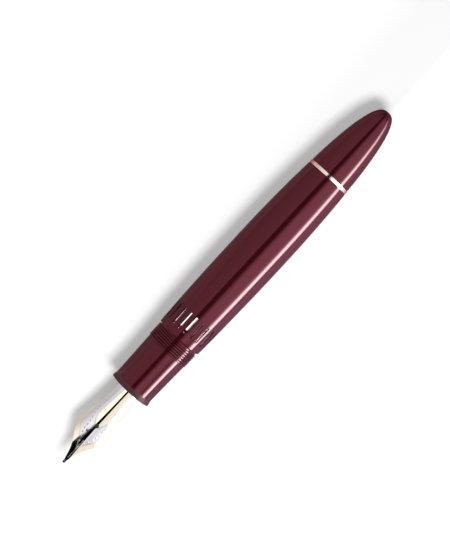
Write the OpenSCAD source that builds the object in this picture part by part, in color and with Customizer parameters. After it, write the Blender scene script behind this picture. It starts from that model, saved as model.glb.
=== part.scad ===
// Piston-filling fountain pen, uncapped, lying on its side with the nib's face up.
// Everything is turned about one axis. Stations along it are measured from the front
// face of the grip section: positive towards the turning knob, negative along the nib.

/* [Grip section] */
// Length of the grip, from its front face to the barrel
grip_len = 14.95; // [13:0.05:20]
// Radius of the flared front lip
lip_r = 6.62; // [6.3:0.01:6.8]
// Length of the flare behind the lip
lip_len = 1.6; // [1:0.1:3]
// Radius of the grip just behind the flare
grip_waist_r = 6.27; // [6:0.01:6.5]
// Radius of the grip where it meets the barrel
grip_back_r = 6.58; // [6.3:0.01:6.7]
// Radius of the bore that takes the nib collar
grip_bore_r = 4.75; // [4.6:0.05:5]

/* [Cap thread] */
// Number of thread crests
thread_crests = 7; // [4:1:9]
// Distance from crest to crest
thread_pitch = 0.72; // [0.6:0.01:0.9]
// Radius over the crests
thread_r = 6.86; // [6.8:0.01:7]
// Depth of the thread
thread_depth = 0.3; // [0.15:0.05:0.35]
// Width of the groove between the thread and the barrel's shoulder
seat_len = 0.35; // [0.2:0.05:1]

/* [Barrel] */
// Length of the barrel, cap thread included
barrel_len = 65.6; // [64:0.1:72]
// Radius at the shoulder behind the cap thread
barrel_front_r = 7.05; // [6.95:0.01:7.3]
// Widest radius, at the belly
barrel_belly_r = 7.6; // [7.4:0.01:8.2]
// Station of the belly, from the barrel's front face
barrel_belly_at = 37.7; // [34:0.1:46]
// Radius at the trim ring
barrel_back_r = 6.75; // [6.6:0.01:7]

/* [Ink window] */
// Number of window slots round the barrel
slot_count = 20; // [8:1:20]
// Length of a slot
slot_len = 5.5; // [3:0.1:8]
// Width of a slot
slot_w = 0.65; // [0.4:0.01:0.9]
// Turn of the ring of slots round the pen, towards the near side
slot_turn = 0.75; // [0:0.05:9]
// Distance from the cap thread to the slots
slot_gap = 2.6; // [1.8:0.05:4]
// How far the clear ribs lie below the barrel's surface in the slots
slot_skin = 0.05; // [0.02:0.01:0.3]
// Radius of the ink chamber
ink_bore_r = 5.1; // [4.6:0.05:5.15]
// Wall of the clear core
core_wall = 0.8; // [0.6:0.05:0.85]

/* [Trim ring and knob] */
// Width of the trim ring
ring_w = 1.1; // [0.8:0.1:2]
// How far the trim ring lies below the barrel's surface
ring_sunk = 0.05; // [0:0.01:0.1]
// Length of the turning knob
knob_len = 23.7; // [22.5:0.1:27]
// Radius of the knob at its mouth
knob_r = 6.57; // [6.5:0.01:6.8]
// How early the knob starts to taper: lower is earlier
knob_taper = 1.35; // [1.15:0.05:1.6]
// How blunt the knob's nose is: lower is blunter
knob_nose = 0.36; // [0.3:0.01:0.4]

/* [Nib] */
// How far the nib stands out of the grip
nib_reach = 27.65; // [24:0.05:30]
// Length of the shank inside the collar
shank_len = 9; // [7:0.5:10]
// Radius of the shank
shank_r = 3.55; // [3.4:0.05:3.8]
// Half the width across the shoulders
shoulder_w = 5.19; // [4.8:0.01:5.6]
// Height of the writing point above the pen's axis
point_rise = 0.65; // [0.4:0.05:1.5]
// Thickness of the gold
nib_t = 0.4; // [0.3:0.02:0.5]
// Radius of the breather hole
breather_r = 0.65; // [0.4:0.05:0.9]
// Distance of the breather hole from the grip
breather_at = 13.45; // [11:0.05:15]
// Width of the slit between the tines
slit_w = 0.08; // [0.06:0.01:0.15]
// Radius of the hard pellet at the writing point
pellet_r = 0.45; // [0.35:0.01:0.5]

/* [Feed] */
// How far the feed reaches under the nib
feed_reach = 19; // [16:0.5:21]
// Number of fins
fin_count = 13; // [6:1:14]
// Distance from fin to fin
fin_pitch = 0.8; // [0.7:0.05:0.9]
// Width of the gap between fins
fin_gap = 0.34; // [0.2:0.02:0.45]

/* [Filling mechanism] */
// Full turns of the knob from empty to full
knob_turns = 4; // [3:0.5:4]
// How far the knob rises in one turn
knob_lead = 1; // [0.6:0.1:1]
// Room kept between the rod's end and the spindle's collar
rod_room = 5.55; // [1:0.05:8]
// Radius of the brass housing inside the barrel
housing_r = 5.7; // [5.5:0.05:5.75]
// Radius over the thread of the housing's neck
neck_r = 3.9; // [3.8:0.05:4]
// Bore of the housing
housing_bore_r = 3; // [2.9:0.05:3.1]
// Half the thickness of the rod across its flats
rod_flat = 2.4; // [2:0.05:2.5]
// Radius over the steep screw of the spindle
screw_r = 1.7; // [1.5:0.05:1.75]

/* [Hidden] */
$fn = 96;

// Clearances
bond_gap = 0.02;    // glued, pressed or moulded together
run_gap = 0.05;     // sliding or turning
face_gap = 0.04;    // between the closed knob and the trim ring
loose_gap = 0.4;    // round parts that pass without touching
e = 0.02;           // how far a cut passes through a face

// Colours
burgundy = [0.30, 0.04, 0.08];
rose_gold = [0.88, 0.63, 0.52];
gold = [0.86, 0.70, 0.40];
bright_metal = [0.80, 0.80, 0.82];
brass = [0.78, 0.62, 0.32];
black_resin = [0.05, 0.05, 0.06];
rubber = [0.09, 0.09, 0.10];
clear_resin = [0.85, 0.84, 0.82];
white_resin = [0.90, 0.89, 0.86];

// Stations of the outside
thread_from = grip_len;
thread_to = thread_from + thread_crests * thread_pitch;
thread_root_r = thread_r - thread_depth;
shoulder_at = thread_to + seat_len;
slot_from = thread_to + slot_gap;
slot_to = slot_from + slot_len;
belly_at = grip_len + barrel_belly_at;
barrel_to = grip_len + barrel_len;
ring_to = barrel_to + ring_w;
knob_from = ring_to + face_gap;
knob_to = knob_from + knob_len;
rest_r = barrel_belly_r;            // the pen lies on its belly
mid = (knob_to - nib_reach) / 2;    // middle of its whole length

// Grip interior
collar_from = 0.8;
collar_to = 12.2;
gasket_t = 0.5;
ledge_at = collar_to + gasket_t;
ledge_r = grip_bore_r - 0.6;
tenon_gap = 2.7;                    // between the tenon's end and the window's slots
tenon_to = slot_from - tenon_gap;
lip_round = 0.15;

// Ink chamber
core_from = tenon_to + gasket_t;
core_r = ink_bore_r + core_wall;
rib_gap = bond_gap;                 // between a rib and the sides of its slot

// Knob interior
flange_t = 0.75;
flange_r = 6;
neck_len = 9.3;
neck_from = knob_from + flange_t;
neck_to = neck_from + neck_len;
neck_land = 2;                      // plain part of the neck in front of its thread
neck_pitch = 1;
insert_r = neck_r + 0.75;
insert_from = neck_from + neck_land;
web_gap = 1;                        // between the neck's end and the insert's web
web_from = neck_to + web_gap;
web_len = 3;
insert_to = web_from + web_len;
tail_r = 1.5;
tail_over = 1;                      // how far the spindle's tail passes the insert
spindle_shank_r = 2.4;
wire_r = 0.3;                       // half the thickness of the friction ring
collar_w = 1;                       // width of each collar beside the friction ring
groove_half = wire_r + run_gap;
pin_r = 0.5;
pin_short = 0.3;                    // how far each pin end lies below the insert's surface

// Piston and its stroke: the rod and its travel share the length that the barrel leaves
rise = knob_turns * knob_lead;
groove_at = neck_to - rise - 1.5 * collar_w;
shank_room = groove_at - groove_half - collar_w;
front_room = 2;                     // room in front of the piston at full stroke
retainer_t = 1.2;
retainer_r = ink_bore_r - 0.5;
seal_len = 6;
seal_wall_r = ink_bore_r - 0.35;
lip_w = 0.9;
lip_bevel = 0.3;
stub_r = 1.6;                       // the stub that carries the seal
rod_head = 1;                       // the disc behind the seal
screw_lead_in = 1.5;                // solid part of the rod in front of its bore
screw_grip = 4.5;                   // thread still engaged at full stroke
rod_fixed = retainer_t + seal_len + screw_lead_in + rise + screw_grip;
stroke = (shank_room - rod_room - core_from - front_room - rod_fixed) / 2;
retainer_at = core_from + front_room + stroke;
seal_from = retainer_at + retainer_t;
rod_from = seal_from + seal_len;
screw_from = rod_from + screw_lead_in;
rod_to = screw_from + stroke + rise + screw_grip;
shank_from = rod_to + rod_room / 2;
housing_gap = 2.5;                  // between the piston at rest and the housing
housing_from = rod_from + housing_gap;
core_to = housing_from - 1.1;
guide_len = 4;
guide_r = 4.4;
rod_r = housing_bore_r - run_gap;
rod_bore_r = screw_r + run_gap;

// ---- Shapes -------------------------------------------------------------

// Radius of the barrel's outside: two curves that meet at the belly.
function barrel_r_at(a) = a < belly_at
    ? barrel_belly_r - (barrel_belly_r - barrel_front_r)
        * pow((belly_at - a) / (belly_at - shoulder_at), 2.1)
    : barrel_belly_r - (barrel_belly_r - barrel_back_r)
        * pow((a - belly_at) / (barrel_to - belly_at), 2.2);

// Radius of the knob's outside at a share t of its length.
function knob_r_at(t) = knob_r * pow(1 - pow(t, knob_taper), knob_nose);

// Radius of the grip's outside: a flared lip, then a slow swell to the barrel.
function grip_r_at(a) = grip_waist_r
    + (lip_r - grip_waist_r) * pow(max(0, 1 - a / lip_len), 1.3)
    + (grip_back_r - grip_waist_r) * pow(max(0, a - lip_len) / (grip_len - lip_len), 1.3);

// Evenly spaced values, both ends included.
function spaced(from, to, count) = [for (i = [0:count]) from + (to - from) * i / count];

// Ridges of a thread: points [station, radius] from one root to the next.
function ridges(from, count, pitch, crest, depth) = [
    for (i = [0:count - 1]) each [
        [from + (i + 0.08) * pitch, crest - depth],
        [from + (i + 0.38) * pitch, crest],
        [from + (i + 0.62) * pitch, crest],
        [from + (i + 0.92) * pitch, crest - depth]
    ]
];

// Stands local +Z along the pen, at the height where it rests.
module on_axis() translate([-mid, 0, rest_r]) rotate([0, 90, 0]) children();

// A solid turned from an outline of [station, radius] points.
module turned(outline) on_axis() rotate_extrude() polygon([for (p = outline) [p[1], p[0]]]);

// A plain tube from one station to another.
module tube(from, to, outer, inner)
    turned([[from, inner], [from, outer], [to, outer], [to, inner]]);

// A plain rod from one station to another.
module rod(from, to, r) on_axis() translate([0, 0, from]) cylinder(r = r, h = to - from);

// A block centred on the axis from one station to another.
module block(from, to, wide, tall)
    translate([from - mid, -wide / 2, rest_r - tall / 2]) cube([to - from, wide, tall]);

// A round cord bent round the axis.
module o_ring(at, centre_r, cord_r)
    on_axis() translate([0, 0, at]) rotate_extrude() translate([centre_r, 0]) circle(r = cord_r, $fn = 32);

// ---- The nib's surface --------------------------------------------------
// u is the distance in front of the grip, so it runs the other way from a station.

nib_blade = nib_reach - 1.5 * pellet_r;     // end of the gold, behind the pellet
shoulder_u = 0.597 * nib_reach;
shank_wrap = 88;                            // half the angle that the shank wraps round
shoulder_wrap = 55;
flank_from = 3;                             // where the sides start to spread
corner = 0.5;                               // rounding of the shoulders
point_w = 0.34;
flare = 0.4;                                // growth of the bend radius towards the point
feed_drop = 0.04;                           // between the feed and the gold

function clamp01(t) = max(0, min(1, t));
function mix(a, b, t) = a + (b - a) * t;

// Half the nib's width: straight sides, then shoulders that run hollow into the point.
function side_w(u) = shank_r
    + (shoulder_w - shank_r) * pow(max(0, u - flank_from) / (shoulder_u - flank_from), 1.25);
function tine_share(q) = (1 - q) * (1 - 0.36 * sin(180 * pow(max(0, q), 1.6)));
function tine_w(u) = shoulder_w * tine_share((u - shoulder_u) / (nib_reach - pellet_r / 6 - shoulder_u));
function blend_min(a, b, h) = mix(b, a, h) - corner * h * (1 - h);
function nib_w(u) = max(point_w, blend_min(side_w(u), tine_w(u),
    clamp01(0.5 + 0.5 * (tine_w(u) - side_w(u)) / corner)));
// Height of the nib's ridge line above the axis.
function nib_top(u) = mix(shank_r, point_rise, pow(clamp01(u / nib_blade), 1.1));
// Radius that the sheet is bent to, and half the angle it wraps round.
function shank_bend(u) = nib_w(u) / sin(mix(shank_wrap, shoulder_wrap, clamp01(u / shoulder_u)));
function nib_bend(u) = u < shoulder_u ? shank_bend(u)
    : shank_bend(shoulder_u) + flare * (u - shoulder_u);
function nib_turn(u) = asin(min(1, nib_w(u) / nib_bend(u)));

// A point on the nib, sunk by a depth, at an angle from its ridge line.
function nib_point(u, turn, depth) = [
    -u - mid,
    (nib_bend(u) - depth) * sin(turn),
    rest_r + nib_top(u) - nib_bend(u) + (nib_bend(u) - depth) * cos(turn)
];

// Half the gap between the tines: the slit, widened to the breather hole's circle.
function nib_gap(u) = max(slit_w / 2, sqrt(max(0, pow(breather_r, 2) - pow(u - breather_at, 2))));

function quad(a, b, c, d) = [[a, b, c], [a, c, d]];

// ---- Sub-parts ----------------------------------------------------------

// Turned grip: flared lip, bore for the nib unit, tenon that goes into the barrel.
module grip_section() color(burgundy) turned(concat(
    [[0, grip_bore_r], [0, lip_r - lip_round]],
    [for (a = spaced(lip_round / 2, grip_len - bond_gap, 24)) [a, grip_r_at(a)]],
    [
        [grip_len - bond_gap, core_r],
        [tenon_to, core_r],
        [tenon_to, ledge_r],
        [ledge_at, ledge_r],
        [ledge_at, grip_bore_r]
    ]
));

// Sleeve that holds the nib and the feed in the grip.
module nib_collar() color(black_resin)
    tube(collar_from, collar_to, grip_bore_r - bond_gap, shank_r + bond_gap);

// Washer behind the nib unit.
module collar_seal() color(rubber)
    tube(collar_to, ledge_at - bond_gap, grip_bore_r - bond_gap, ledge_r - loose_gap);

// Ink feed: finned cone under the nib, round body in the collar, ink channel on top.
module feed() {
    nose_r = 0.6;
    top_slope = nib_top(0) - nib_top(feed_reach);
    body_r = shank_r - nib_t - feed_drop;
    nose_z = body_r - top_slope - nose_r;
    channel = 0.5;
    nipple_r = 1.6;
    nipple_len = 2;
    fins_from = 1.2;
    color(black_resin) difference() {
        union() {
            translate([-mid, 0, rest_r]) rotate([0, -90 + atan(nose_z / feed_reach), 0])
                cylinder(r1 = body_r, r2 = nose_r, h = feed_reach);
            rod(-0.2, collar_to - 1, body_r);
            intersection() {
                rod(collar_from, collar_to - 1, shank_r);
                translate([-mid, -shank_r, rest_r - shank_r]) cube([collar_to, 2 * shank_r, shank_r - 0.3]);
            }
            rod(collar_to - 1 - e, collar_to + nipple_len, nipple_r);
        }
        for (i = [0:fin_count - 1]) let (u = fins_from + i * fin_pitch)
            translate([-mid - u - fin_gap, -shank_r, rest_r - 2 * shank_r])
                cube([fin_gap, 2 * shank_r, 1.25 * shank_r + 2 * nose_z * u / feed_reach + 0.06 * u]);
        translate([-mid - feed_reach, -channel / 2, rest_r + body_r - channel])
            cube([feed_reach + collar_to - nipple_len, channel, shank_r]);
    }
}

// Nib: one bent sheet whose middle column is open from the breather hole to the point.
module nib() {
    cells = 7;                      // across one tine
    cols = 2 * cells + 2;
    hole_half = sqrt(pow(breather_r, 2) - pow(slit_w / 2, 2));
    behind = concat([-shank_len], spaced(0, breather_at - 2 * hole_half, 8));
    round_hole = [for (k = [0:8]) breather_at - hole_half * cos(180 * k / 8)];
    stations = concat(behind, round_hole,
        spaced(breather_at + 2 * hole_half, shoulder_u + 2 * hole_half, 6),
        spaced(shoulder_u + 3.3 * hole_half, nib_blade, 12));
    first_open = len(behind);
    rows = len(stations);
    last = rows - 1;
    function turn_at(u, j) = let (
            inner = asin(nib_gap(u) / nib_bend(u)),
            outer = nib_turn(u)
        ) j <= cells ? -mix(inner, outer, (cells - j) / cells) : mix(inner, outer, (j - cells - 1) / cells);
    function top(i, j) = i * cols + j;
    function low(i, j) = (rows + i) * cols + j;
    function is_solid(i, j) = i < first_open || j != cells;
    color(gold) polyhedron(
        points = [for (depth = [0, nib_t], u = stations, j = [0:cols - 1]) nib_point(u, turn_at(u, j), depth)],
        faces = concat(
            // upper and lower face
            [for (i = [0:last - 1], j = [0:cols - 2]) if (is_solid(i, j))
                each quad(top(i, j), top(i + 1, j), top(i + 1, j + 1), top(i, j + 1))],
            [for (i = [0:last - 1], j = [0:cols - 2]) if (is_solid(i, j))
                each quad(low(i, j), low(i, j + 1), low(i + 1, j + 1), low(i + 1, j))],
            // outer edges and both sides of the slit
            [for (i = [0:last - 1], j = [0, cells + 1]) if (j == 0 || i >= first_open)
                each quad(top(i, j), low(i, j), low(i + 1, j), top(i + 1, j))],
            [for (i = [0:last - 1], j = [cells, cols - 1]) if (j == cols - 1 || i >= first_open)
                each quad(top(i, j), top(i + 1, j), low(i + 1, j), low(i, j))],
            // back end, front end and the back of the breather hole
            [for (j = [0:cols - 2]) each quad(top(0, j), top(0, j + 1), low(0, j + 1), low(0, j))],
            [for (j = [0:cols - 2]) if (j != cells)
                each quad(top(last, j), low(last, j), low(last, j + 1), top(last, j + 1))],
            quad(top(first_open, cells), low(first_open, cells),
                low(first_open, cells + 1), top(first_open, cells + 1))
        ),
        convexity = 8
    );
}

// Hard pellet welded to the point, split by the slit.
module nib_pellet() {
    centre_u = nib_reach - pellet_r;
    centre_z = rest_r + nib_top(nib_blade) - nib_t / 2;
    box = 6 * pellet_r;
    color(bright_metal) difference() {
        translate([-mid - centre_u, 0, centre_z]) sphere(r = pellet_r, $fn = 48);
        translate([-mid - nib_blade - bond_gap, -box / 2, rest_r - box]) cube([box, box, 2 * box]);
        translate([-mid - nib_reach - e, -slit_w / 2, rest_r - box]) cube([box, slit_w, 2 * box]);
    }
}

// Washer between the grip's tenon and the clear core.
module section_gasket() color(rubber)
    tube(tenon_to + bond_gap, core_from - bond_gap, core_r, ink_bore_r);

// Barrel: cap thread in front, window slots, one long bore.
module barrel() color(burgundy) difference() {
    turned(concat(
        [[thread_from, core_r + bond_gap], [thread_from, thread_root_r]],
        ridges(thread_from, thread_crests, thread_pitch, thread_r, thread_depth),
        [[thread_to, thread_root_r], [shoulder_at, thread_root_r]],
        [for (a = spaced(shoulder_at, barrel_to, 40)) [a, barrel_r_at(a)]],
        [
            [barrel_to, housing_r + bond_gap],
            [core_to, housing_r + bond_gap],
            [core_to, core_r + bond_gap]
        ]
    ));
    for (i = [0:slot_count - 1])
        on_axis() rotate([0, 0, slot_turn + 360 * i / slot_count]) translate([0, -slot_w / 2, slot_from])
            cube([barrel_belly_r + 1, slot_w, slot_len]);
}

// Clear ink chamber: a long tube with ribs that fill the window's slots.
module ink_window() color(clear_resin) difference() {
    union() {
        tube(core_from, core_to - bond_gap, core_r, ink_bore_r);
        intersection() {
            turned(concat(
                [[slot_from + rib_gap, ink_bore_r + core_wall / 2]],
                [for (a = spaced(slot_from + rib_gap, slot_to - rib_gap, 4)) [a, barrel_r_at(a) - slot_skin]],
                [[slot_to - rib_gap, ink_bore_r + core_wall / 2]]
            ));
            union() for (i = [0:slot_count - 1])
                on_axis() rotate([0, 0, slot_turn + 360 * i / slot_count])
                    translate([0, rib_gap - slot_w / 2, slot_from])
                        cube([barrel_belly_r + 1, slot_w - 2 * rib_gap, slot_len]);
        }
    }
}

// Bright ring between the barrel and the knob.
module trim_ring() color(rose_gold) turned([
    [barrel_to + bond_gap, housing_r + bond_gap],
    [barrel_to + bond_gap, barrel_back_r - ring_sunk - 0.1],
    [barrel_to + bond_gap + 0.1, barrel_back_r - ring_sunk],
    [ring_to - 0.1, barrel_back_r - ring_sunk],
    [ring_to, barrel_back_r - ring_sunk - 0.1],
    [ring_to, housing_r + bond_gap]
]);

// Brass housing: body in the barrel, flange over the ring, threaded neck in the knob.
module filler_housing() color(brass) turned(concat(
    [
        [housing_from, guide_r],
        [housing_from, housing_r],
        [ring_to + bond_gap, housing_r],
        [ring_to + bond_gap, flange_r],
        [neck_from, flange_r],
        [neck_from, neck_r - thread_depth],
        [neck_from + neck_land, neck_r - thread_depth]
    ],
    ridges(neck_from + neck_land, 6, neck_pitch, neck_r, thread_depth),
    [
        [neck_to - thread_depth, neck_r - thread_depth],
        [neck_to, neck_r - 2 * thread_depth],
        [neck_to, housing_bore_r],
        [housing_from + guide_len, housing_bore_r],
        [housing_from + guide_len, guide_r]
    ]
));

// O-ring between the clear core and the housing.
module housing_seal() {
    seal_r = (housing_from - core_to) / 2 - bond_gap;
    color(rubber) o_ring((core_to + housing_from) / 2, housing_r - seal_r, seal_r);
}

// Guide bush with a two-flatted hole that keeps the rod from turning.
module rod_guide() color(black_resin) difference() {
    rod(housing_from, housing_from + guide_len - bond_gap, guide_r - bond_gap);
    intersection() {
        rod(housing_from - e, housing_from + guide_len, rod_r + run_gap);
        block(housing_from - 1, housing_from + guide_len + 1, 2 * rod_r + 1, 2 * (rod_flat + run_gap));
    }
}

// Piston rod: flatted tube with a bore for the steep screw, and a stub for the seal.
module piston_rod() color(white_resin) {
    difference() {
        union() {
            intersection() {
                rod(rod_from, rod_to, rod_r);
                block(rod_from, rod_to, 2 * rod_r + 1, 2 * rod_flat);
            }
            rod(rod_from, rod_from + rod_head, retainer_r);
        }
        rod(screw_from - run_gap, rod_to + e, rod_bore_r);
    }
    rod(seal_from - bond_gap, rod_from, stub_r);
}

// Piston seal: a waisted body with a lip at each end.
module piston_seal() {
    lip_r2 = ink_bore_r - run_gap;
    color(white_resin) turned([
        [seal_from, stub_r + bond_gap],
        [seal_from, lip_r2 - lip_bevel],
        [seal_from + lip_bevel, lip_r2],
        [seal_from + lip_w, lip_r2],
        [seal_from + 1.5 * lip_w, seal_wall_r],
        [rod_from - 1.5 * lip_w, seal_wall_r],
        [rod_from - lip_w, lip_r2],
        [rod_from - lip_bevel, lip_r2],
        [rod_from - bond_gap, lip_r2 - lip_bevel],
        [rod_from - bond_gap, stub_r + bond_gap]
    ]);
}

// Domed button that keeps the seal on the rod.
module seal_retainer() color(black_resin) turned([
    [retainer_at, 0],
    [retainer_at, retainer_r - retainer_t],
    [retainer_at + retainer_t / 2, retainer_r],
    [seal_from - 2 * bond_gap, retainer_r],
    [seal_from - 2 * bond_gap, 0]
]);

// O-ring that gives the knob its friction in the neck.
module friction_ring() color(rubber)
    o_ring(groove_at, housing_bore_r - run_gap - wire_r, wire_r);

// Spindle: steep screw in the rod's bore, grooved shank in the neck, pinned tail.
module spindle() {
    groove_r = housing_bore_r - 2 * run_gap - 2 * wire_r;
    collar_r = housing_bore_r - run_gap;
    tip_bevel = screw_r / 4;
    color(bright_metal) difference() {
        turned([
            [screw_from, 0],
            [screw_from, screw_r - tip_bevel],
            [screw_from + tip_bevel, screw_r],
            [shank_from, screw_r],
            [shank_from, spindle_shank_r],
            [groove_at - groove_half - collar_w, spindle_shank_r],
            [groove_at - groove_half - collar_w, collar_r],
            [groove_at - groove_half, collar_r],
            [groove_at - groove_half, groove_r],
            [groove_at + groove_half, groove_r],
            [groove_at + groove_half, collar_r],
            [groove_at + groove_half + collar_w, collar_r],
            [groove_at + groove_half + collar_w, spindle_shank_r],
            [web_from - bond_gap, spindle_shank_r],
            [web_from - bond_gap, tail_r],
            [insert_to + tail_over, tail_r],
            [insert_to + tail_over, 0]
        ]);
        cross_hole(pin_r + bond_gap);
    }
}

// The hole or pin across the insert's web.
module cross_hole(r)
    translate([(web_from + insert_to) / 2 - mid, 0, rest_r - 1.2 * insert_r])
        cylinder(r = r, h = 2.4 * insert_r);

// Pin that locks the spindle to the knob's insert.
module spindle_pin() color(bright_metal)
    translate([(web_from + insert_to) / 2 - mid, 0, rest_r - insert_r + pin_short])
        cylinder(r = pin_r, h = 2 * (insert_r - pin_short));

// Brass nut in the knob: runs on the neck's thread and holds the spindle.
module knob_insert() color(brass) difference() {
    turned([
        [insert_from, neck_r + run_gap],
        [insert_from, insert_r],
        [insert_to, insert_r],
        [insert_to, tail_r + bond_gap],
        [web_from, tail_r + bond_gap],
        [web_from, neck_r + run_gap]
    ]);
    cross_hole(pin_r + bond_gap);
}

// Turning knob: a cigar-shaped cap over the insert, closed at its end.
module knob() {
    tail_room = insert_to + 2 * tail_over;
    steps = 40;
    // Stations crowd together at the nose.
    shares = [for (i = [0:steps]) 1 - pow(1 - i / steps, 2)];
    color(burgundy) turned(concat(
        [[knob_from, flange_r + run_gap]],
        [for (t = shares) [knob_from + t * knob_len, t < 1 ? knob_r_at(t) : 0]],
        [
            [tail_room, 0],
            [tail_room, tail_r + loose_gap],
            [insert_to + bond_gap, tail_r + loose_gap],
            [insert_to + bond_gap, insert_r + bond_gap],
            [neck_from + run_gap, insert_r + bond_gap],
            [neck_from + run_gap, flange_r + run_gap]
        ]
    ));
}

grip_section();
nib_collar();
collar_seal();
feed();
nib();
nib_pellet();
section_gasket();
barrel();
ink_window();
trim_ring();
filler_housing();
housing_seal();
rod_guide();
piston_rod();
piston_seal();
seal_retainer();
friction_ring();
spindle();
spindle_pin();
knob_insert();
knob();
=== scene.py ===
"""Looks of an uncapped piston-filled fountain pen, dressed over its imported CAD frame."""

import math

import bmesh
import bpy
import numpy as np
from mathutils import Matrix, Vector


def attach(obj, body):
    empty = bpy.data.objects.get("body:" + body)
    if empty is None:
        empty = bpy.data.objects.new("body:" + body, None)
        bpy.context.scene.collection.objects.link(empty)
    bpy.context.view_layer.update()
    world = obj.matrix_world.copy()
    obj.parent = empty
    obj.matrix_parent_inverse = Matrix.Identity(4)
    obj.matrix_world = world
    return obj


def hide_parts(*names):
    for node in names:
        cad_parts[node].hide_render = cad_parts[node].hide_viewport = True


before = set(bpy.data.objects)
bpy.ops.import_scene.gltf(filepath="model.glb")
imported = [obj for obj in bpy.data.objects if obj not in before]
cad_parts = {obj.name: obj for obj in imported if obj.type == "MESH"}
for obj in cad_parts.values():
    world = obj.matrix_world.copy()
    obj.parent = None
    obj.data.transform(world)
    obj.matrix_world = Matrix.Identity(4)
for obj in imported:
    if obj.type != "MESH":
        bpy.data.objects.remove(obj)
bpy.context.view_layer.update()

MM = 0.001
QUARTER_TURN = math.radians(90)

# ---- Sizes, in mm, the same as the part's source -------------------------
# Stations run from the grip's front face, positive towards the turning knob.

HAIRLINE = 0.02  # left between two pieces that meet

GRIP_LEN = 14.95
LIP_R, LIP_LEN, GRIP_WAIST_R, GRIP_BACK_R = 6.62, 1.6, 6.27, 6.58
GRIP_CURVE = 1.3
GRIP_BORE_R = 4.75
MOUTH_EDGE, LIP_EDGE = 0.12, 0.2
TENON_TO = GRIP_LEN + 4

THREAD_CRESTS, THREAD_PITCH, THREAD_R, THREAD_DEPTH = 7, 0.72, 6.86, 0.3
THREAD_FROM = GRIP_LEN
THREAD_TO = THREAD_FROM + THREAD_CRESTS * THREAD_PITCH
RIDGE = THREAD_DEPTH + 0.05
RIDGE_CREST = 0.40 * THREAD_PITCH
RIDGE_TURNS, RIDGE_FROM = THREAD_CRESTS - 0.9, THREAD_FROM + 0.27
RIDGE_RISE, RIDGE_LEAST = 3.0, 0.02  # how fast its ends grow, for each turn, and from what share
RUNOUT_FROM, RUNOUT_DEPTH = THREAD_TO - 0.62, 0.16
SHOULDER_AT = THREAD_TO + 0.2

BARREL_TO = GRIP_LEN + 65.6
BELLY_AT = GRIP_LEN + 37.7
BARREL_FRONT_R, BELLY_R, BARREL_BACK_R = 7.05, 7.6, 6.75
FRONT_CURVE, BACK_CURVE = 2.1, 2.2
SHOULDER_EDGE, BARREL_EDGE = 0.12, 0.06

SLOT_COUNT, SLOT_LEN, SLOT_W = 20, 5.5, 0.65
SLOT_TURN = math.radians(0.75)
SLOT_FROM = THREAD_TO + 2.6
SLOT_TO = SLOT_FROM + SLOT_LEN
SLOT_MID = (SLOT_FROM + SLOT_TO) / 2
CUTTER_FROM_R, CUTTER_TO_R = 4.75, 9.75
RIB_SINK = 0.32
CORE_R, INK_BORE_R = 5.9, 5.1
CORE_FROM, CORE_TO = SLOT_FROM - 2.2, 50.72
SLEEVE_SEAT = SLOT_TO + 4

RING_W, RING_R, RING_EDGE = 1.1, 6.70, 0.16
RING_TO = BARREL_TO + RING_W
HOUSING_R = 5.7

KNOB_FROM = RING_TO + 2 * HAIRLINE
KNOB_LEN, KNOB_R = 23.7, 6.57
KNOB_TAPER, KNOB_NOSE = 1.35, 0.36
KNOB_TO = KNOB_FROM + KNOB_LEN
KNOB_EDGE = 0.06
FLANGE_R, FLANGE_DEPTH = 6.05, 0.8
KNOB_BORE_R, KNOB_MOUTH_R = 4.6, 4.62
KNOB_BORE_TO = KNOB_TO - 7

NIB_REACH = 27.65
SHANK_LEN, SHANK_R = 9.0, 3.55
POINT_RISE, NIB_T = 0.65, 0.4
BREATHER_R, BREATHER_AT = 0.65, 13.45
SLIT_W, PELLET_R = 0.08, 0.45

MID = (KNOB_TO - NIB_REACH) / 2
AXIS_Z = BELLY_R


def barrel_radius(a):
    """Outside radius of the barrel at a station: two curves that meet at the belly."""
    if a < BELLY_AT:
        fall = ((BELLY_AT - a) / (BELLY_AT - SHOULDER_AT)) ** FRONT_CURVE
        return BELLY_R - (BELLY_R - BARREL_FRONT_R) * fall
    fall = ((a - BELLY_AT) / (BARREL_TO - BELLY_AT)) ** BACK_CURVE
    return BELLY_R - (BELLY_R - BARREL_BACK_R) * fall


def grip_radius(a):
    """Outside radius of the grip: a flared lip, then a slow swell to the barrel."""
    lip = (LIP_R - GRIP_WAIST_R) * max(0.0, 1 - a / LIP_LEN) ** GRIP_CURVE
    swell = (max(0.0, a - LIP_LEN) / (GRIP_LEN - LIP_LEN)) ** GRIP_CURVE
    return GRIP_WAIST_R + lip + (GRIP_BACK_R - GRIP_WAIST_R) * swell


def knob_radius(t):
    """Outside radius of the knob at a share t of its length."""
    return KNOB_R * max(0.0, 1 - t ** KNOB_TAPER) ** KNOB_NOSE


def between(a, b, t):
    """The value a share t of the way from a to b."""
    return a + (b - a) * t


def kept_share(t):
    """A share held within 0 and 1."""
    return min(1.0, max(0.0, t))


def spaced(start, stop, count):
    """Evenly spaced values that bound count steps."""
    return [start + (stop - start) * i / count for i in range(count + 1)]


def rounded(corner, before, after, size, steps=5):
    """Points that round an outline's corner, between its two neighbours."""
    c = np.array(corner, float)
    a, b = np.array(before, float) - c, np.array(after, float) - c
    a, b = c + a / np.linalg.norm(a) * size, c + b / np.linalg.norm(b) * size
    return [tuple((1 - t) ** 2 * a + 2 * t * (1 - t) * c + t * t * b) for t in spaced(0, 1, steps)]


# ---- Geometry Nodes -----------------------------------------------------

KINDS = {"float": "NodeSocketFloat", "int": "NodeSocketInt", "material": "NodeSocketMaterial"}


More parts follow.
